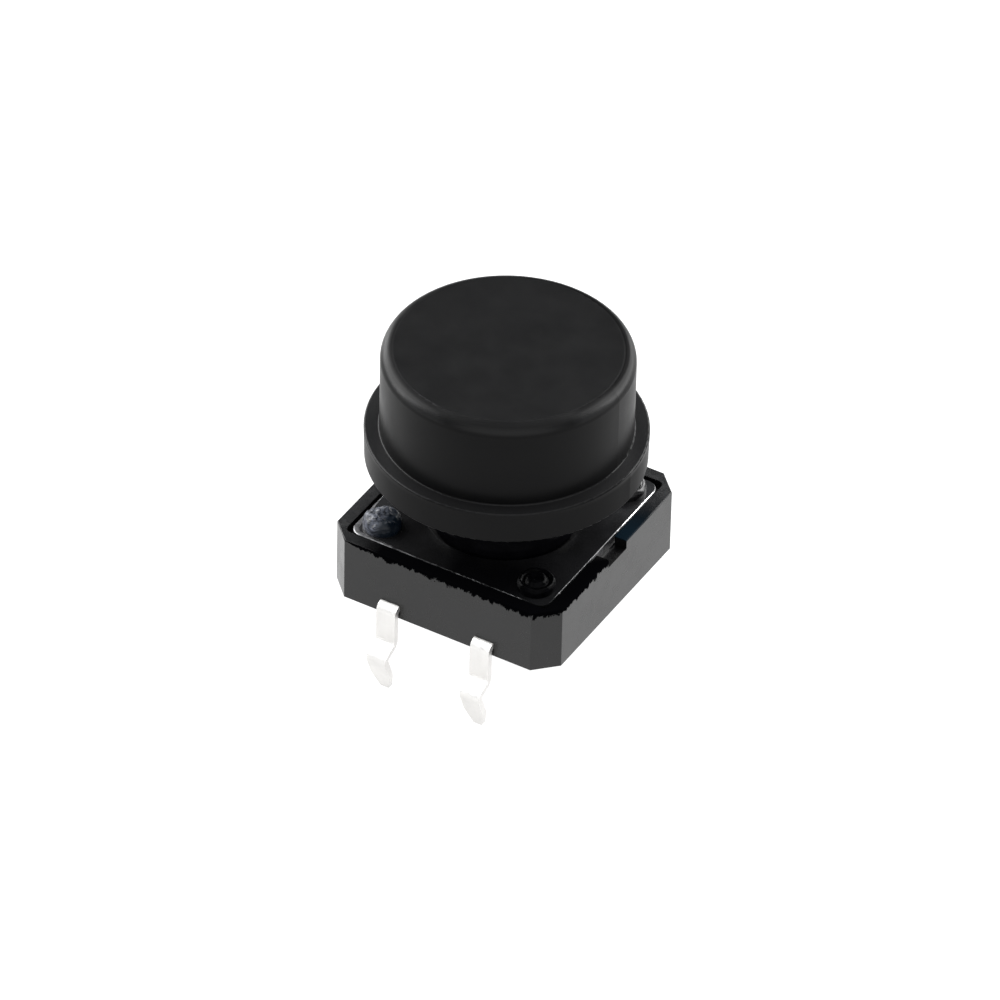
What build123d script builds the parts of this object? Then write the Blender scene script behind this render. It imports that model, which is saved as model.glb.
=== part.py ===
# Tactile push button switch, 12 mm square, with a stepped round keycap.
# Millimetres. The origin is the centre of the body's underside, on the board plane, and +Z is up.
# The terminals leave the -Y and +Y faces, and the rim notches are on the -X and +X faces.
from build123d import *
import math
import os

# Moulded base, outside
body_side = 12.0
body_height = 3.34
body_corner_cut = 1.03
body_edge_radius = 0.05
rim_rise = 0.08
notch_width = 1.64
notch_depth = 0.46
support_hole_radius = 0.4
support_hole_inset = 2.1

# Cover plate
plate_thickness = 0.3
plate_margin = 0.76
plate_side_gap = 0.13
plate_corner_radius = 0.6
recess_corner_radius = 0.3
plate_edge_radius = 0.06

# Staked studs that hold the plate
stud_inset = 1.9
stud_radius = 0.6
stud_hole_gap = 0.05
stud_head_radius = 0.88
stud_head_height = 0.5
stud_groove_radius = 0.6
stud_button_radius = 0.42
stud_foot_height = 0.2
stud_ring_height = 0.44
stud_groove_depth = 0.16
stud_edge_radius = 0.08

# Contact strips and their terminal legs
strip_thickness = 0.3
strip_width = 1.0
strip_underside = 0.42
terminal_pitch = 5.0
leg_gap = 0.1
leg_bend_radius = 0.28
kink_start_drop = 1.38
kink_start_radius = 0.35
kink_reach = 0.88
kink_crest_drop = 1.8
kink_crest_radius = 0.24
tip_drop = 4.0
tip_taper = 1.0
tip_width = 0.45
arm_width = 1.2
pad_radius = 0.45
pad_inset = 0.5

# Cavity floor and snap dome
floor_cover = 0.23
dome_radius = 3.5
dome_rise = 0.35
dome_thickness = 0.1
dome_side_gap = 0.15
dome_seat_depth = 0.65

# Plunger
stage_radius = 3.5
stage_gap = 0.25
stage_edge_radius = 0.18
shoulder_height = 1.04
post_side = 3.8
post_height = 3.0
post_corner_radius = 0.3
post_top_chamfer = 0.3
collar_overlap = 0.3
collar_thickness = 0.6
collar_side_gap = 0.15
collar_top_gap = 0.03
lug_width = 1.6
lug_reach = 0.7
lug_side_gap = 0.1
nib_radius = 1.0
nib_gap = 0.02

# Keycap
cap_radius = 5.84
cap_height = 6.04
cap_top_radius = 0.6
ledge_width = 0.71
flange_draft = 0.04
flange_height = 1.63
flange_edge_radius = 0.08
ledge_corner_radius = 0.06
cap_wall = 0.95
cap_roof = 1.1
cap_inside_radius = 0.4
skirt_lift = 2.22
flange_wall = 1.0
flange_roof = 0.6
socket_boss_radius = 3.1
socket_gap = 0.01
socket_clear_depth = 0.3
socket_lead_in = 0.2
rib_thickness = 0.7
rib_setback = 1.3

# Heights that follow from the sizes above
plate_top = body_height - rim_rise
plate_bottom = plate_top - plate_thickness
strip_top = strip_underside + strip_thickness
strip_middle = strip_underside + strip_thickness / 2
floor_top = strip_top + floor_cover
dome_top = floor_top + dome_rise + dome_thickness
seat_top = floor_top + dome_seat_depth
collar_bottom = plate_bottom - collar_top_gap - collar_thickness
nib_bottom = dome_top + nib_gap
shoulder_top = plate_top + shoulder_height
skirt_bottom = shoulder_top + skirt_lift
ledge_top = skirt_bottom + flange_height
cap_top = skirt_bottom + cap_height
roof_underside = cap_top - cap_roof

# Radii and places that follow from the sizes above
body_half = body_side / 2
plate_half = body_half - plate_margin
recess_half = plate_half + plate_side_gap
stud_place = body_half - stud_inset
row_half = body_half + leg_gap + strip_thickness / 2
strip_place = terminal_pitch / 2
plate_hole_radius = stage_radius + stage_gap
collar_radius = plate_hole_radius + collar_overlap
cavity_radius = collar_radius + collar_side_gap
dome_seat_radius = dome_radius + dome_side_gap
cap_inner_radius = cap_radius - cap_wall
flange_radius = cap_radius + ledge_width
flange_inner_radius = flange_radius - flange_wall


def raised(outline, bottom, height):
    """Solid that stands on an outline, from a level up."""
    return Pos(0, 0, bottom) * extrude(outline, height)


def upright_edges(shape):
    """The edges of a shape that run along Z."""
    return shape.edges().filter_by(Axis.Z)


def top_edges(shape):
    """The edges round the highest face of a shape."""
    return shape.faces().sort_by(Axis.Z)[-1].edges()


def turned(section):
    """Solid turned about the Z axis from a half section of radius and height."""
    return revolve(Plane.XZ * section, axis=Axis.Z)


def rounded_corners(section, rounds):
    """The section with a radius at each named corner, given as x, y and the radius."""
    for x, y, radius in rounds:
        corner = min(section.vertices(), key=lambda v: math.hypot(v.X - x, v.Y - y))
        section = fillet(corner, radius)
    return section


def stud_places():
    """Middles of the four studs."""
    return GridLocations(2 * stud_place, 2 * stud_place, 2, 2)


def strip_blank():
    """A flat strip with a kinked leg at each end, drawn along Y through the origin."""
    leg = [
        (row_half, strip_middle),
        (row_half, -kink_start_drop),
        (row_half + kink_reach, -kink_crest_drop),
        (row_half, -tip_drop),
    ]
    route = [(-y, z) for y, z in reversed(leg)] + leg
    radii = [leg_bend_radius, kink_start_radius, kink_crest_radius]
    centre_line = FilletPolyline(*route, radius=radii[::-1] + radii)
    side_view = make_face(offset(centre_line, strip_thickness / 2, side=Side.BOTH))
    blank = extrude(Plane.YZ * side_view, strip_width / 2, both=True)
    below_tips = raised(Rectangle(strip_width, 2 * body_side), -tip_drop, -body_side)
    return blank - tip_tapers() - below_tips


def tip_tapers():
    """Wedges that narrow the ends of the legs on both of their edges."""
    wide = strip_width / 2
    narrow = tip_width / 2
    wedge_outline = Polyline(
        (wide, tip_taper - tip_drop),
        (narrow, -tip_drop),
        (narrow, -tip_drop - strip_thickness),
        (strip_width, -tip_drop - strip_thickness),
        (strip_width, tip_taper - tip_drop),
        close=True,
    )
    wedge = extrude(Plane.XZ * make_face(wedge_outline), body_side, both=True)
    return wedge + mirror(wedge, about=Plane.YZ)


def contact_arm(reach):
    """Flat arm that leaves the strip's middle along X and ends in a raised round pad."""
    arm = raised(Pos(reach / 2, 0) * Rectangle(abs(reach), arm_width), strip_underside, strip_thickness)
    end = raised(Pos(reach, 0) * Circle(arm_width / 2), strip_underside, strip_thickness)
    pad = raised(Pos(reach, 0) * Circle(pad_radius), strip_underside, floor_top - strip_underside)
    return arm + end + pad


def outer_contact():
    """Strip at -X whose short arm reaches the snap dome's rim."""
    arm_reach = strip_place - (dome_radius - pad_inset)
    return Pos(-strip_place, 0) * (strip_blank() + contact_arm(arm_reach))


def centre_contact():
    """Strip at +X whose arm reaches the pad under the middle of the snap dome."""
    return Pos(strip_place, 0) * (strip_blank() + contact_arm(-strip_place))


def snap_dome():
    """Shallow dished spring disc that rests on the cavity's floor."""
    sphere_radius = (dome_radius ** 2 + dome_rise ** 2) / (2 * dome_rise)
    under_edge = (dome_radius, floor_top)
    under_middle = (0, floor_top + dome_rise)
    upper_middle = (0, dome_top)
    upper_edge = (dome_radius, floor_top + dome_thickness)
    outline = [
        RadiusArc(under_edge, under_middle, -sphere_radius),
        Line(under_middle, upper_middle),
        RadiusArc(upper_middle, upper_edge, sphere_radius),
        Line(upper_edge, under_edge),
    ]
    return turned(make_face(outline))


def cover_plate():
    """Sheet with rounded corners, the plunger's hole and four holes for the studs."""
    outline = RectangleRounded(2 * plate_half, 2 * plate_half, plate_corner_radius)
    sheet = raised(outline - Circle(plate_hole_radius), plate_bottom, plate_thickness)
    sheet = fillet(top_edges(sheet), plate_edge_radius)
    stud_hole = raised(Circle(stud_radius + stud_hole_gap), plate_bottom, plate_thickness)
    return sheet - [place * stud_hole for place in stud_places()]


def staked_stud():
    """Stud that passes through the plate, with its end melted over into a ringed head."""
    foot_top = plate_top + stud_foot_height
    ring_top = plate_top + stud_ring_height
    head_top = plate_top + stud_head_height
    ring_radius = (stud_head_radius + stud_groove_radius) / 2
    groove_bottom = ring_top - stud_groove_depth
    section = make_face(
        Polyline(
            (0, plate_bottom),
            (stud_radius, plate_bottom),
            (stud_radius, plate_top),
            (stud_head_radius, plate_top),
            (stud_head_radius, foot_top),
            (ring_radius, ring_top),
            (stud_groove_radius, groove_bottom),
            (stud_button_radius, head_top),
            (0, head_top),
            close=True,
        )
    )
    rounds = [
        (stud_head_radius, foot_top, stud_edge_radius),
        (ring_radius, ring_top, stud_edge_radius),
        (stud_groove_radius, groove_bottom, stud_edge_radius / 2),
        (stud_button_radius, head_top, stud_edge_radius),
    ]
    return turned(rounded_corners(section, rounds))


def body_block():
    """Outside of the base: a square block with cut corners and softened edges."""
    near = body_half - body_corner_cut
    half_outline = [(body_half, -near), (body_half, near), (near, body_half), (-near, body_half)]
    outline = half_outline + [(-x, -y) for x, y in half_outline]
    block = raised(make_face(Polyline(*outline, close=True)), 0, body_height)
    block = fillet(upright_edges(block), body_edge_radius)
    return fillet(top_edges(block), body_edge_radius)


def body_hollows():
    """The plate's recess, the stepped cavity, the plunger's lug slots and the rim notches."""
    recess = raised(
        RectangleRounded(2 * recess_half, 2 * recess_half, recess_corner_radius),
        plate_bottom,
        body_height,
    )
    cavity = raised(Circle(cavity_radius), seat_top, body_height)
    dome_seat = raised(Circle(dome_seat_radius), floor_top, body_height)
    slot_length = 2 * (collar_radius + lug_reach + lug_side_gap)
    lug_slots = raised(Rectangle(slot_length, lug_width + 2 * lug_side_gap), seat_top, body_height)
    notch_floor = body_height - notch_depth
    notch_outline = Rectangle(2 * body_side, notch_width) - Rectangle(2 * recess_half, notch_width)
    notches = raised(notch_outline, notch_floor, body_height)
    return recess + cavity + dome_seat + lug_slots + notches


def support_holes():
    """Blind holes in the underside, where the mould's pins held the strips."""
    hole = raised(Circle(support_hole_radius), 0, strip_underside)
    hole_rows = 2 * (body_half - support_hole_inset)
    return [place * hole for place in GridLocations(terminal_pitch, hole_rows, 2, 2)]


def base():
    """Body moulded round the two contact strips, with the four staked studs."""
    moulding = body_block() - body_hollows() - support_holes()
    moulding = moulding + [place * staked_stud() for place in stud_places()]
    return moulding - outer_contact() - centre_contact()


def plunger():
    """Round stage with a square post on it, a collar with two lugs, and a nib underneath."""
    stage = raised(Circle(stage_radius), collar_bottom, shoulder_top - collar_bottom)
    stage = fillet(top_edges(stage), stage_edge_radius)
    collar = raised(Circle(collar_radius), collar_bottom, collar_thickness)
    lug_length = 2 * (collar_radius + lug_reach)
    lugs = raised(Rectangle(lug_length, lug_width), collar_bottom, collar_thickness)
    nib = raised(Circle(nib_radius), nib_bottom, collar_bottom - nib_bottom)
    post_outline = RectangleRounded(post_side, post_side, post_corner_radius)
    post = raised(post_outline, shoulder_top, post_height)
    post = chamfer(top_edges(post), post_top_chamfer)
    return stage + collar + lugs + nib + post


def cap_shell():
    """Stepped round shell of the keycap, open below."""
    foot_radius = flange_radius - flange_draft
    flange_core_top = ledge_top - flange_roof
    section = make_face(
        Polyline(
            (foot_radius, skirt_bottom),
            (flange_radius, ledge_top),
            (cap_radius, ledge_top),
            (cap_radius, cap_top),
            (0, cap_top),
            (0, roof_underside),
            (cap_inner_radius, roof_underside),
            (cap_inner_radius, flange_core_top),
            (flange_inner_radius, flange_core_top),
            (flange_inner_radius, skirt_bottom),
            close=True,
        )
    )
    rounds = [
        (foot_radius, skirt_bottom, flange_edge_radius),
        (flange_radius, ledge_top, flange_edge_radius),
        (cap_radius, ledge_top, ledge_corner_radius),
        (cap_radius, cap_top, cap_top_radius),
        (cap_inner_radius, roof_underside, cap_inside_radius),
        (cap_inner_radius, flange_core_top, flange_edge_radius),
    ]
    return turned(rounded_corners(section, rounds))


def post_socket():
    """Square socket that grips the plunger's post, with a sloped mouth."""
    side = post_side + 2 * socket_gap
    mouth = side + 2 * socket_lead_in
    depth = post_height + socket_clear_depth
    socket = raised(RectangleRounded(side, side, post_corner_radius), shoulder_top, depth)
    lead_in = Pos(0, 0, shoulder_top) * extrude(Rectangle(mouth, mouth), socket_lead_in, taper=45)
    return socket + lead_in


def keycap():
    """Stepped round cap, hollow below, with ribs and a central boss that grips the post."""
    boss = raised(Circle(socket_boss_radius), shoulder_top, roof_underside - shoulder_top)
    boss = fillet(boss.edges().sort_by(Axis.Z)[0], flange_edge_radius)
    rib_bottom = skirt_bottom + rib_setback
    rib_outline = Rectangle(2 * cap_inner_radius + cap_wall, rib_thickness)
    rib = raised(rib_outline, rib_bottom, roof_underside - rib_bottom)
    return cap_shell() + boss + rib + Rot(0, 0, 90) * rib - post_socket()


pieces = {
    "base": base,
    "cover_plate": cover_plate,
    "outer_contact": outer_contact,
    "centre_contact": centre_contact,
    "snap_dome": snap_dome,
    "plunger": plunger,
    "keycap": keycap,
}

os.makedirs("parts", exist_ok=True)
for name, make in pieces.items():
    export_step(make(), "parts/" + name + ".step")
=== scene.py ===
import bmesh
import bpy
import math
from mathutils import Matrix, Vector, noise


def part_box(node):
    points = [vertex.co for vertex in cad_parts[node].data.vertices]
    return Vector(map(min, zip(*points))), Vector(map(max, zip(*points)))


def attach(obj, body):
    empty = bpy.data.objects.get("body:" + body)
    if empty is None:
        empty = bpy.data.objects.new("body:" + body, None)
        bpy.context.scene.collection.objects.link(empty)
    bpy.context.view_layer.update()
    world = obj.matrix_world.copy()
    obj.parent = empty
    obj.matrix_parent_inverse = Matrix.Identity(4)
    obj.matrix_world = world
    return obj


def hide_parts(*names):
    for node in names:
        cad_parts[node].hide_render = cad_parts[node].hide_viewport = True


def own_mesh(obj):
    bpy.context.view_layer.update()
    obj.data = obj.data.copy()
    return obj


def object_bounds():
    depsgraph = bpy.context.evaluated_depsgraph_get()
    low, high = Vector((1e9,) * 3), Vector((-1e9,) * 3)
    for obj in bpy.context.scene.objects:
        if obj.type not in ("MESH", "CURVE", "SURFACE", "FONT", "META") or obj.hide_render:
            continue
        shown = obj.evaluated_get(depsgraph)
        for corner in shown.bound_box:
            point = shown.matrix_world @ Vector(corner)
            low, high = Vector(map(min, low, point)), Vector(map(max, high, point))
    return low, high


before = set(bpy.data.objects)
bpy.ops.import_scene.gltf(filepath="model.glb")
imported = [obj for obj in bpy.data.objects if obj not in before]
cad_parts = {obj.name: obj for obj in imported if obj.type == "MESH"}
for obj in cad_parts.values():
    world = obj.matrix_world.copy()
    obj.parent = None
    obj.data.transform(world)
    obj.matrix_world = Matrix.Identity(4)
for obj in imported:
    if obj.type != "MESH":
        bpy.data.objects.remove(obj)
cad_low, cad_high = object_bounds()

mm = 0.001

# Camera, as the photograph was taken
aim = Vector((0.583, -1.485, 5.0)) * mm
camera_azimuth = math.radians(29.957)
camera_elevation = math.radians(39.152)
camera_roll = math.radians(1.308)
camera_distance = 460 * mm
lens_length = 362.147
sensor_width = 36.0

# Places read from the frame, and the sizes that go with them
floor_level = cad_low.z
plate_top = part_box("cover_plate")[1].z
plate_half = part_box("cover_plate")[1].x
plate_corner_radius = 0.6 * mm
rim_rise = 0.08 * mm
rim_top = plate_top + rim_rise
cap_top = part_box("keycap")[1].z
ledge_drop = 4.41 * mm
ledge_level = cap_top - ledge_drop
stud_place = 4.1 * mm

# Gloss of the keycap, before its rounded edge and flange differ from it
cap_gloss = 0.068

# Points of a mesh that lie this close together are made one
weld_distance = 0.001 * mm

# Melted heads of the studs: half profiles of radius and height over the plate
ringed_profile = [
    (0, 0.52), (0.26, 0.52), (0.39, 0.52), (0.46, 0.46), (0.54, 0.36), (0.61, 0.33), (0.68, 0.41),
    (0.75, 0.46), (0.81, 0.41), (0.87, 0.29), (0.895, 0.19), (0.895, 0.0),
]
domed_profile = [
    (0, 0.66), (0.2, 0.66), (0.4, 0.64), (0.56, 0.6), (0.7, 0.52), (0.8, 0.42), (0.87, 0.3),
    (0.895, 0.18), (0.895, 0.0),
]
turn_steps = 56
profile_step = 0.08
lump_size = 0.42 * mm

# Studio
floor_side = 2.4
softbox_distance = 0.7


def add(material, kind, inputs=None, **settings):
    """A new shader node, with its inputs linked or set, and its first output."""
    made = material.node_tree.nodes.new("ShaderNode" + kind)
    for key, value in settings.items():
        setattr(made, key, value)
    for key, value in (inputs or {}).items():
        if isinstance(value, bpy.types.NodeSocket):
            material.node_tree.links.new(value, made.inputs[key])
        else:
            made.inputs[key].default_value = value
    return made.outputs[0]


def plain_surface(name, **values):
    """New material and its surface shader, whose sockets are set from the named values."""
    material = bpy.data.materials.new(name)
    material.use_nodes = True
    surface = material.node_tree.nodes["Principled BSDF"]
    for socket, value in values.items():
        surface.inputs[socket.replace("_", " ")].default_value = value
    return material, surface


def drive(material, surface, **sockets):
    """Links outputs of the material's nodes to the surface shader's sockets."""
    for socket, output in sockets.items():
        material.node_tree.links.new(output, surface.inputs[socket.replace("_", " ")])


def place_on(material):
    """The place on the object, in metres."""
    return add(material, "TexCoord").node.outputs["Object"]


def axis_on(material, axis):
    """One coordinate of the place on the object, in metres."""
    return add(material, "SeparateXYZ", {"Vector": place_on(material)}).node.outputs[axis]


def grain(material, size, detail=2.0, stretch=(1, 1, 1), roughness=0.5):
    """Noise from 0 to 1 with features of a size in metres, drawn out by a factor on each axis."""
    scale = [1 / (size * s) for s in stretch]
    spot = add(material, "Mapping", {"Vector": place_on(material), "Scale": scale})
    inputs = {"Vector": spot, "Scale": 1.0, "Detail": detail, "Roughness": roughness}
    return add(material, "TexNoise", inputs)


def spread(material, value, low, high, out_low=0.0, out_high=1.0):
    """The value, moved from one range to another and clamped there."""
    inputs = {"Value": value, "From Min": low, "From Max": high}
    inputs.update({"To Min": out_low, "To Max": out_high})
    return add(material, "MapRange", inputs)


def between(material, share, first, second):
    """A colour between two others, by a share from 0 to 1."""
    mix = add(material, "Mix", data_type="RGBA").node
    for name, value in (("Factor_Float", share), ("A_Color", first), ("B_Color", second)):
        socket = next(s for s in mix.inputs if s.identifier == name)
        if isinstance(value, bpy.types.NodeSocket):
            material.node_tree.links.new(value, socket)
        else:
            socket.default_value = value
    return next(s for s in mix.outputs if s.identifier == "Result_Color")


def calculated(material, operation, first, second=0.0):
    """The result of one sum on two numbers."""
    return add(material, "Math", {0: first, 1: second}, operation=operation)


def combined(material, operation, numbers):
    """The result of the same sum on many numbers, one after the other."""
    result, *others = numbers
    for number in others:
        result = calculated(material, operation, result, number)
    return result


def total(material, *numbers):
    """All the numbers, added."""
    return combined(material, "ADD", numbers)


def product(material, *numbers):
    """All the numbers, multiplied."""
    return combined(material, "MULTIPLY", numbers)


def least(material, *numbers):
    """The smallest of the numbers."""
    return combined(material, "MINIMUM", numbers)


def most(material, *numbers):
    """The largest of the numbers."""
    return combined(material, "MAXIMUM", numbers)


def less(material, first, second):
    """The first number less the second."""
    return calculated(material, "SUBTRACT", first, second)


def mapped(material, operation, first, second=(0, 0, 0)):
    """The result of one sum on two places."""
    return add(material, "VectorMath", {0: first, 1: second}, operation=operation)


def left_to_right(material):
    """X plus Y, which grows from the left corner in the photograph to the right one."""
    return total(material, axis_on(material, "X"), axis_on(material, "Y"))


def relief(material, height, depth):
    """Surface normal of a shallow relief, from its height of 0 to 1 and its depth in metres."""
    return add(material, "Bump", {"Height": height, "Distance": depth, "Strength": 1.0})


def beyond_square(material, half, corner_radius):
    """How far a point lies outside a square with rounded corners, less than 0 inside it."""
    straight = half - corner_radius
    flat = mapped(material, "MULTIPLY", place_on(material), (1, 1, 0))
    quarter = mapped(material, "ABSOLUTE", flat)
    past = mapped(material, "SUBTRACT", quarter, (straight, straight, 0))
    reach = mapped(material, "MAXIMUM", past, (0, 0, 0))
    length = add(material, "VectorMath", {0: reach}, operation="LENGTH").node.outputs["Value"]
    return less(material, length, corner_radius)


def charcoal_moulding():
    """Satin charcoal plastic of the keycap, with painted shade darkening its flat top and painted
    light making its ledge paler.
    """
    material, surface = plain_surface("charcoal_moulding")
    height = axis_on(material, "Z")
    tone = spread(material, grain(material, 2.5 * mm), 0.3, 0.7)
    colour = between(material, tone, (0.0022, 0.0022, 0.0023, 1), (0.0026, 0.0026, 0.0027, 1))
    # Painted shade: the flat top is darkened towards a near-black colour.
    top = spread(material, height, cap_top - 0.02 * mm, cap_top - 0.005 * mm, 0, 0.7)
    colour = between(material, top, colour, (0.0004, 0.0004, 0.0005, 1))
    # Painted light: a paler colour on and just around the ledge.
    over_ledge = less(material, height, ledge_level)
    from_ledge = calculated(material, "ABSOLUTE", over_ledge)
    painted_light_near_ledge = spread(material, from_ledge, 0.01 * mm, 0.05 * mm, 1, 0)
    colour = between(material, painted_light_near_ledge, colour, (0.0048, 0.0048, 0.005, 1))
    along = left_to_right(material)
    gloss = product(material, total(material, edge_gain(material, along), 1), cap_gloss)
    gloss = less(material, gloss, flange_loss(material, along, over_ledge))
    sheen = spread(material, grain(material, 1.2 * mm), 0.3, 0.7, 0.33, 0.38)
    pores = grain(material, 0.05 * mm, detail=3.0)
    drive(material, surface, Base_Color=colour, Roughness=sheen, Specular_IOR_Level=gloss)
    drive(material, surface, Normal=relief(material, pores, 0.001 * mm))
    return material


def flange_loss(material, along, over_ledge):
    """Gloss that the cap's flange loses towards its left and right sides."""
    flange = spread(material, over_ledge, -0.3 * mm, -0.1 * mm, 1, 0)
    left = spread(material, along, -9.2 * mm, -5 * mm, 0.034, 0)
    right = spread(material, along, 0, 6.5 * mm, 0, 0.05)
    return product(material, flange, total(material, left, right))


def edge_gain(material, along):
    """Share of gloss that the cap gains on its edge and wall, less than 0 where it loses some."""
    deep = less(material, cap_top, axis_on(material, "Z"))
    left = spread(material, along, -6.1 * mm, -5.6 * mm, 1, 0)
    right = spread(material, along, 2.2 * mm, 3 * mm)
    side = most(material, left, right)
    loss = total(material, dull_band(material, deep, side), dull_flanks(material, along, deep))
    gain = less(material, glossy_band(material, along, deep, side), loss)
    off_top = spread(material, deep, 0.002 * mm, 0.008 * mm)
    return product(material, most(material, gain, -0.9), off_top)


def glossy_band(material, along, deep, side):
    """Gain of the lower part of the cap's rounded edge, most of it at the sides."""
    peak = 2.3
    by_side = spread(material, side, 0, 1, 0.55, peak)
    left = spread(material, along, -8.1 * mm, -7.1 * mm, 0.1, peak)
    right = spread(material, along, 4 * mm, 6 * mm, peak, 0.6)
    below_top = spread(material, deep, 0.12 * mm, 0.25 * mm)
    above_wall = spread(material, deep, 0.33 * mm, 0.48 * mm, 1, 0)
    band = least(material, below_top, above_wall)
    return product(material, least(material, by_side, left, right), band)


def dull_band(material, deep, side):
    """Loss of the upper part of the cap's rounded edge, larger and thinner at the sides."""
    at_front = spread(material, deep, 0.1 * mm, 0.18 * mm, 0.25, 0)
    at_side = spread(material, deep, 0.03 * mm, 0.09 * mm, 0.65, 0)
    front = less(material, 1, side)
    return total(material, product(material, front, at_front), product(material, side, at_side))


def dull_flanks(material, along, deep):
    """Loss of the cap's outermost sides: half as much on the wall, and none from the ledge down."""
    left = spread(material, along, -8.3 * mm, -7.7 * mm, 0.45, 0)
    right = spread(material, along, 4.5 * mm, 7 * mm, 0, 0.5)
    down_wall = spread(material, deep, 0.4 * mm, 0.6 * mm, 1, 0.5)
    over_ledge = spread(material, deep, ledge_drop - 0.11 * mm, ledge_drop - 0.01 * mm, 1, 0)
    return product(material, total(material, left, right), down_wall, over_ledge)


def base_resin():
    """Black filled resin of the base, with faint dust specks and a dark upper edge."""
    material, surface = plain_surface("base_resin")
    tone = spread(material, grain(material, 1.6 * mm), 0.3, 0.7)
    resin = between(material, tone, (0.001, 0.001, 0.001, 1), (0.002, 0.002, 0.0022, 1))
    specks = spread(material, grain(material, 0.1 * mm, detail=1.0), 0.78, 0.82, 0.0, 0.3)
    colour = between(material, specks, resin, (0.2, 0.2, 0.21, 1))
    edge = dark_edge(material)
    colour = between(material, edge, colour, (0.0007, 0.0007, 0.0009, 1))
    dull = dull_rim(material)
    # Painted reflection: a bluish tone on the dull stretch of the rim, fading towards the far
    # corner.
    painted_blue_reflection = spread(material, axis_on(material, "Y"), 1.6 * mm, 3.6 * mm, 1, 0.2)
    colour = between(material, product(material, dull, painted_blue_reflection), colour, (0.002, 0.005, 0.008, 1))
    sheen = spread(material, grain(material, 0.9 * mm), 0.3, 0.7, 0.2, 0.3)
    gloss = spread(material, most(material, edge, dull), 0, 1, 0.42, 0)
    skin = grain(material, 0.07 * mm, detail=4.0)
    drive(material, surface, Base_Color=colour, Roughness=sheen)
    drive(material, surface, Specular_IOR_Level=gloss, Normal=relief(material, skin, 0.0015 * mm))
    return material


def dark_edge(material):
    """The dark band under the rim's top edge, ragged in front and on half of the right side."""
    x, y, z = (axis_on(material, axis) for axis in "XYZ")
    front_face = spread(material, y, -5.35 * mm, -5.3 * mm, 1, 0)
    front = product(material, front_face, spread(material, x, -5.2 * mm, -3.2 * mm))
    right = spread(material, less(material, x, y), 6.4 * mm, 6.8 * mm)
    ragged = most(material, front, right)
    teeth = grain(material, 0.32 * mm, detail=5.0, stretch=(1, 1, 2), roughness=0.75)
    reach = spread(material, teeth, 0.36, 0.64, 0.08 * mm, 0.4 * mm)
    reach = total(material, product(material, reach, ragged), 0.02 * mm)
    over_rim = less(material, z, rim_top)
    band = spread(material, total(material, reach, over_rim), 0, 0.01 * mm)
    top = spread(material, z, rim_top - 0.004 * mm, rim_top - 0.001 * mm)
    pale_top = product(material, top, spread(material, ragged, 0, 1, 1, 0))
    return less(material, band, pale_top)


def dull_rim(material):
    """The rim's dull stretch on the right, from the notch to near the far corner, which also
    carries a painted bluish reflection.
    """
    x, y, z = (axis_on(material, axis) for axis in "XYZ")
    right = spread(material, x, 5.3 * mm, 5.35 * mm)
    top = spread(material, z, rim_top - 0.06 * mm, rim_top - 0.03 * mm)
    past_notch = spread(material, y, 0.5 * mm, 0.7 * mm)
    before_corner = spread(material, y, 2.6 * mm, 4.8 * mm, 0.95, 0.1)
    return product(material, past_notch, right, before_corner, top)


def coated_steel():
    """Black coating of the cover plate, worn to uneven bare metal along its cut edge, with a
    painted highlight of bright metal on its right edge and a painted shadow near its front corner.
    """
    material, surface = plain_surface("coated_steel")
    to_front = less(material, axis_on(material, "X"), axis_on(material, "Y"))
    front_corner = spread(material, to_front, 9.2 * mm, 9.6 * mm)
    bright = painted_highlight_stretch(material)
    wear_and_highlight = wear_and_edge_highlight(material, bright, front_corner)
    tone = spread(material, grain(material, 1.4 * mm), 0.3, 0.7)
    coating = between(material, tone, (0.004, 0.004, 0.0042, 1), (0.006, 0.006, 0.0065, 1))
    # Painted shadow: the coating is made near black between the plunger and the front corner.
    coating = between(material, painted_shadow_zone(material), coating, (0.0008, 0.0008, 0.001, 1))
    patchy = spread(material, grain(material, 0.7 * mm, detail=4.0, roughness=0.7), 0.35, 0.65)
    metal = between(material, patchy, (0.015, 0.015, 0.016, 1), (0.18, 0.18, 0.185, 1))
    # Painted highlight: near-white metal colour along the right edge.
    metal = between(material, bright, metal, (0.9, 0.91, 0.92, 1))
    colour = between(material, wear_and_highlight, coating, metal)
    sheen = spread(material, grain(material, 0.8 * mm), 0.3, 0.7, 0.15, 0.22)
    roughness = total(material, sheen, product(material, wear_and_highlight, 0.2))
    gloss = spread(material, to_front, 3 * mm, 6.5 * mm, 0.5, 0.2)
    gloss = least(material, gloss, spread(material, front_corner, 0, 1, 0.5, 0.02))
    waves = grain(material, 0.5 * mm)
    drive(material, surface, Base_Color=colour, Metallic=wear_and_highlight, Roughness=roughness)
    drive(material, surface, Specular_IOR_Level=gloss, Normal=relief(material, waves, 0.002 * mm))
    return material


def painted_highlight_stretch(material):
    """Painted highlight: bright metal along the plate's right edge, up to near the far corner."""
    right = spread(material, left_to_right(material), 6.2 * mm, 7.8 * mm)
    before_corner = spread(material, axis_on(material, "Y"), 4.3 * mm, 4.8 * mm, 1, 0.1)
    return product(material, right, before_corner)


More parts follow.
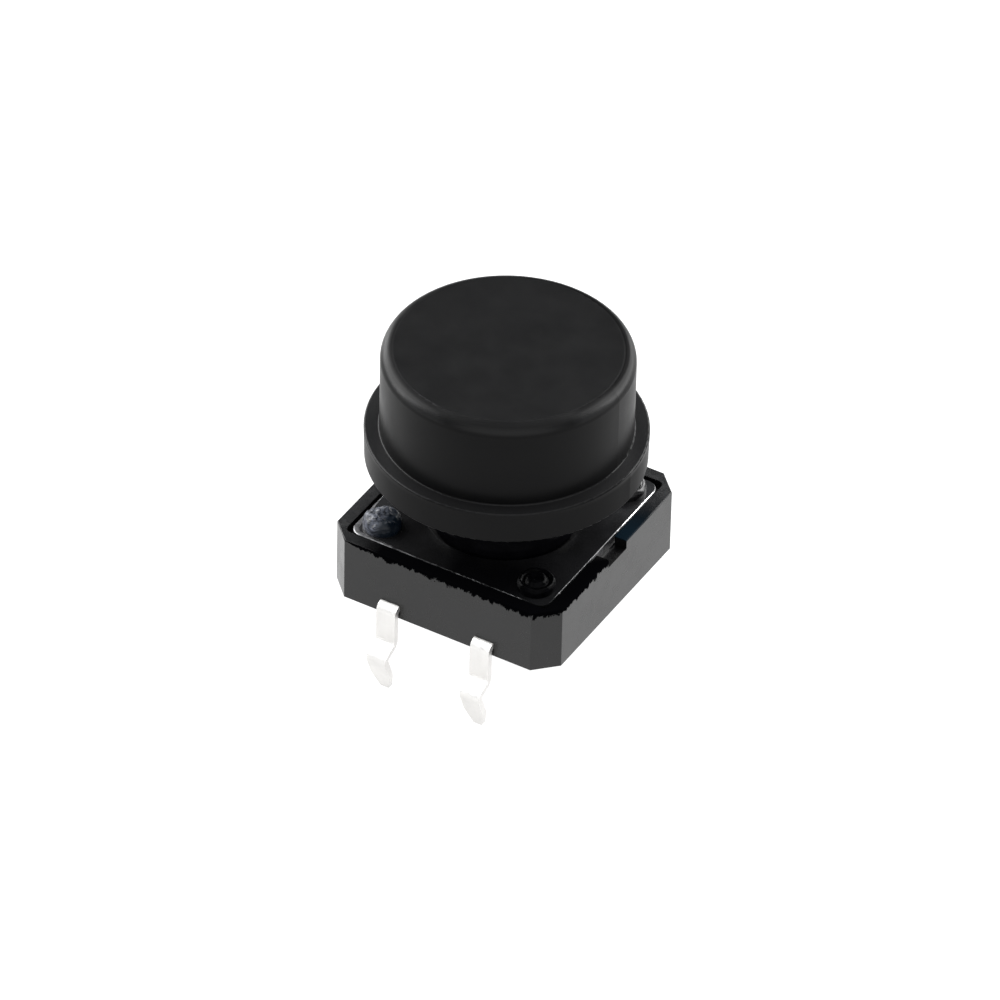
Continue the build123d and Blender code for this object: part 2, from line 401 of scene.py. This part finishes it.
def wear_and_edge_highlight(material, bright, front_corner):
    """Where the plate's coating is worn to bare metal along its cut edge, partly a painted
    highlight: widest at the lit left corner, least at the front one in painted shade.
    """
    outside = beyond_square(material, plate_half, plate_corner_radius)
    chips = grain(material, 0.25 * mm, detail=5.0, roughness=0.7)
    wear = spread(material, chips, 0.3, 0.7, 0.0, 0.05 * mm)
    left_corner = spread(material, left_to_right(material), -10.2 * mm, -7 * mm, 0.3 * mm, 0.0)
    reach = total(material, wear, left_corner, outside, product(material, bright, 0.02 * mm))
    reach = less(material, reach, product(material, front_corner, 0.1 * mm))
    return spread(material, reach, 0, 0.012 * mm)


def painted_shadow_zone(material):
    """Painted shadow: the plate's coating made blackest between the plunger and the front corner,
    where the cap's shade falls.
    """
    x, y = axis_on(material, "X"), axis_on(material, "Y")
    left = spread(material, x, -1.3 * mm, 0.3 * mm)
    front = spread(material, y, -3.6 * mm, -2 * mm, 0.95, 0)
    right = spread(material, x, 2.8 * mm, 4.4 * mm, 1, 0.3)
    return product(material, left, front, right)


def bright_tin():
    """Satin tin plating of the terminal strips, with fine marks along the legs."""
    material, surface = plain_surface("bright_tin", Metallic=1.0)
    tone = spread(material, grain(material, 0.5 * mm, stretch=(1, 1, 4)), 0.3, 0.7)
    colour = between(material, tone, (0.69, 0.68, 0.665, 1), (0.75, 0.74, 0.725, 1))
    sheen = spread(material, grain(material, 0.3 * mm), 0.3, 0.7, 0.42, 0.56)
    marks = grain(material, 0.05 * mm, stretch=(1, 1, 8))
    normal = relief(material, marks, 0.001 * mm)
    drive(material, surface, Base_Color=colour, Roughness=sheen, Normal=normal)
    return material


def rolled_steel():
    """Rolled spring steel of the snap dome."""
    material, surface = plain_surface("rolled_steel", Metallic=1.0)
    tone = spread(material, grain(material, 0.4 * mm, stretch=(6, 1, 1)), 0.3, 0.7)
    colour = between(material, tone, (0.52, 0.52, 0.52, 1), (0.66, 0.65, 0.64, 1))
    sheen = spread(material, grain(material, 0.5 * mm), 0.3, 0.7, 0.2, 0.32)
    lines = grain(material, 0.03 * mm, stretch=(20, 1, 1))
    normal = relief(material, lines, 0.001 * mm)
    drive(material, surface, Base_Color=colour, Roughness=sheen, Normal=normal)
    return material


def black_moulding():
    """Smooth black plastic of the plunger."""
    material, surface = plain_surface("black_moulding", Specular_IOR_Level=0.1)
    tone = spread(material, grain(material, 0.8 * mm), 0.3, 0.7)
    colour = between(material, tone, (0.001, 0.001, 0.0014, 1), (0.002, 0.002, 0.0025, 1))
    sheen = spread(material, grain(material, 0.5 * mm), 0.3, 0.7, 0.14, 0.26)
    skin = grain(material, 0.2 * mm, detail=3.0)
    normal = relief(material, skin, 0.004 * mm)
    drive(material, surface, Base_Color=colour, Roughness=sheen, Normal=normal)
    return material


def melted_resin():
    """Black resin of a stud head, melted to an uneven gloss that is dull on the front stud."""
    material, surface = plain_surface("melted_resin")
    tone = spread(material, grain(material, 0.3 * mm, detail=3.0), 0.35, 0.65)
    colour = between(material, tone, (0.0003, 0.0003, 0.0004, 1), (0.001, 0.001, 0.0013, 1))
    sheen = spread(material, grain(material, 0.25 * mm, detail=3.0), 0.3, 0.7, 0.2, 0.4)
    gloss = spread(material, left_to_right(material), 4 * mm, 6 * mm, 0.015, 0.25)
    creases = grain(material, 0.2 * mm, detail=3.0, stretch=(1.5, 1.5, 0.7))
    drive(material, surface, Base_Color=colour, Roughness=sheen, Specular_IOR_Level=gloss)
    drive(material, surface, Normal=relief(material, creases, 0.03 * mm))
    return material


def resin_with_painted_highlight():
    """Resin of the left stud head, with a painted highlight in pale streaks on its outer side."""
    material, surface = plain_surface("resin_with_painted_highlight", Specular_IOR_Level=0.15)
    streaks = grain(material, 0.09 * mm, detail=4.0, stretch=(3, 3, 0.6), roughness=0.65)
    tone = spread(material, streaks, 0.4, 0.6)
    # Painted highlight: pale streaks on the stud's outer side, the side towards the light.
    streaks_and_highlight = between(material, tone, (0.003, 0.004, 0.006, 1), (0.055, 0.06, 0.075, 1))
    outer = spread(material, axis_on(material, "X"), -4.05 * mm, -3.75 * mm)
    colour = between(material, outer, streaks_and_highlight, (0.002, 0.004, 0.007, 1))
    sheen = spread(material, grain(material, 0.25 * mm, detail=3.0), 0.3, 0.7, 0.2, 0.45)
    normal = relief(material, streaks, 0.02 * mm)
    drive(material, surface, Base_Color=colour, Roughness=sheen, Normal=normal)
    return material


def pale_floor():
    """Plain white paper under the switch, lit from behind."""
    material, surface = plain_surface("pale_floor", Roughness=0.9, Specular_IOR_Level=0.0)
    tone = grain(material, 40 * mm)
    colour = between(material, tone, (0.09, 0.09, 0.09, 1), (0.11, 0.11, 0.11, 1))
    surface.inputs["Emission Color"].default_value = (1, 1, 1, 1)
    surface.inputs["Emission Strength"].default_value = 0.95
    drive(material, surface, Base_Color=colour)
    return material


def dress(name, material):
    """Gives a CAD node its finish."""
    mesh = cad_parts[name].data
    mesh.materials.clear()
    mesh.materials.append(material)


def dress_all():
    """Finishes of all the CAD nodes."""
    tin = bright_tin()
    dress("keycap", charcoal_moulding())
    dress("base", base_resin())
    dress("cover_plate", coated_steel())
    dress("outer_contact", tin)
    dress("centre_contact", tin)
    dress("snap_dome", rolled_steel())
    dress("plunger", black_moulding())


def lumpy(spot, seed, depth):
    """How far a point of a melted form is swollen, from 0 up to a depth."""
    value = noise.fractal(Vector(spot) / lump_size + Vector((seed, 0, 0)), 0.7, 2.2, 3)
    return depth * min(max(0.5 + value, 0), 1)


def divided(profile):
    """The profile with more points between its own, about as far apart as the steps of the turn."""
    finer = []
    for (r1, h1), (r2, h2) in zip(profile, profile[1:]):
        count = max(round(math.hypot(r2 - r1, h2 - h1) / profile_step), 1)
        finer += [(r1 + (r2 - r1) * i / count, h1 + (h2 - h1) * i / count) for i in range(count)]
    return finer + [profile[-1]]


def melted_head(name, x, y, profile, seed, depth, material):
    """Head of a staked stud, turned from its profile and swollen unevenly, over the CAD head."""
    form = bmesh.new()
    points = [form.verts.new((r * mm, 0, h * mm)) for r, h in divided(profile)]
    edges = [form.edges.new(pair) for pair in zip(points, points[1:])]
    bmesh.ops.spin(
        form, geom=points + edges, cent=(0, 0, 0), axis=(0, 0, 1),
        angle=2 * math.pi, steps=turn_steps, use_merge=True,
    )
    bmesh.ops.remove_doubles(form, verts=form.verts, dist=weld_distance)
    bmesh.ops.recalc_face_normals(form, faces=form.faces)
    if sum(face.normal.z for face in form.faces) < 0:
        bmesh.ops.reverse_faces(form, faces=form.faces)
    form.normal_update()
    tallest = max(height for radius, height in profile) * mm
    moves = [(v, v.normal * lumpy(v.co, seed, depth) * v.co.z / tallest) for v in form.verts]
    for vert, move in moves:
        vert.co += move
    bmesh.ops.translate(form, verts=form.verts, vec=(x, y, plate_top))
    for face in form.faces:
        face.smooth = True
    mesh = bpy.data.meshes.new(name)
    form.to_mesh(mesh)
    form.free()
    mesh.materials.append(material)
    head = bpy.data.objects.new(name, mesh)
    bpy.context.scene.collection.objects.link(head)
    finer = head.modifiers.new("finer", "SUBSURF")
    finer.levels = 1
    finer.render_levels = 1
    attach(head, "housing")


def make_stud_heads():
    """The four melted heads that hold the cover plate down."""
    resin = melted_resin()
    heads = [
        ("left", -1, -1, domed_profile, 1.3, 0.15, resin_with_painted_highlight()),
        ("front", 1, -1, ringed_profile, 4.7, 0.05, resin),
        ("right", 1, 1, ringed_profile, 7.9, 0.08, resin),
        ("rear", -1, 1, ringed_profile, 11.2, 0.06, resin),
    ]
    for side, x, y, profile, seed, depth, finish in heads:
        name = side + "_stud_head"
        melted_head(name, x * stud_place, y * stud_place, profile, seed, depth * mm, finish)


def make_flexing_dome():
    """A welded copy of the snap dome, on the housing in place of the CAD one."""
    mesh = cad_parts["snap_dome"].data.copy()
    form = bmesh.new()
    form.from_mesh(mesh)
    bmesh.ops.remove_doubles(form, verts=form.verts, dist=weld_distance)
    form.to_mesh(mesh)
    form.free()
    dome = bpy.data.objects.new("flexing_dome", mesh)
    bpy.context.scene.collection.objects.link(dome)
    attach(dome, "housing")
    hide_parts("snap_dome")
    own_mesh(dome)


def direction(azimuth, elevation):
    """Unit vector towards a place round the object. Azimuth 0 is at -Y and a quarter turn at +X."""
    flat = math.cos(elevation)
    return Vector((math.sin(azimuth) * flat, -math.cos(azimuth) * flat, math.sin(elevation)))


def facing(back, roll):
    """Turn of a camera or light whose back points away from what it looks at."""
    side = Vector((0, 0, 1)).cross(back).normalized()
    up = back.cross(side)
    right = math.cos(roll) * side + math.sin(roll) * up
    top = math.cos(roll) * up - math.sin(roll) * side
    return Matrix((right, top, back)).transposed().to_4x4()


def make_camera():
    """The camera, at the photograph's place and angle."""
    lens = bpy.data.cameras.new("photo_camera")
    lens.lens = lens_length
    lens.sensor_width = sensor_width
    lens.clip_start = 0.01
    lens.clip_end = 10.0
    camera = bpy.data.objects.new("photo_camera", lens)
    bpy.context.scene.collection.objects.link(camera)
    back = direction(camera_azimuth, camera_elevation)
    place = Matrix.Translation(aim + back * camera_distance)
    camera.matrix_world = place @ facing(back, camera_roll)
    bpy.context.scene.camera = camera


def softbox(name, azimuth, elevation, width, height, watts):
    """Wide soft lamp at an angle round the object, from the camera's own azimuth."""
    lamp = bpy.data.lights.new(name, "AREA")
    lamp.shape = "RECTANGLE"
    lamp.size = width
    lamp.size_y = height
    lamp.energy = watts
    box = bpy.data.objects.new(name, lamp)
    bpy.context.scene.collection.objects.link(box)
    back = direction(camera_azimuth + math.radians(azimuth), math.radians(elevation))
    box.matrix_world = Matrix.Translation(aim + back * softbox_distance) @ facing(back, 0)


def make_floor():
    """The white floor that the legs stand on."""
    form = bmesh.new()
    bmesh.ops.create_grid(form, x_segments=4, y_segments=4, size=floor_side / 2)
    bmesh.ops.translate(form, verts=form.verts, vec=(0, 0, floor_level))
    mesh = bpy.data.meshes.new("floor")
    form.to_mesh(mesh)
    form.free()
    mesh.materials.append(pale_floor())
    floor = bpy.data.objects.new("floor", mesh)
    bpy.context.scene.collection.objects.link(floor)


def make_studio():
    """Pale floor, a softbox behind the object on each side, and weak ones over and before it."""
    make_floor()
    softbox("left_softbox", -125, 30, 0.8, 0.8, 22)
    softbox("right_softbox", 125, 30, 0.8, 0.8, 22)
    softbox("top_softbox", 0, 70, 0.85, 0.85, 5)
    softbox("front_softbox", 0, 16, 1.2, 0.55, 4.5)
    world = bpy.data.worlds.new("studio")
    world.use_nodes = True
    room = world.node_tree.nodes["Background"]
    room.inputs["Color"].default_value = (0.9, 0.95, 1.0, 1)
    room.inputs["Strength"].default_value = 0.25
    bpy.context.scene.world = world
    bpy.context.scene.view_settings.view_transform = "Standard"


make_camera()
make_studio()
dress_all()
make_stud_heads()
make_flexing_dome()
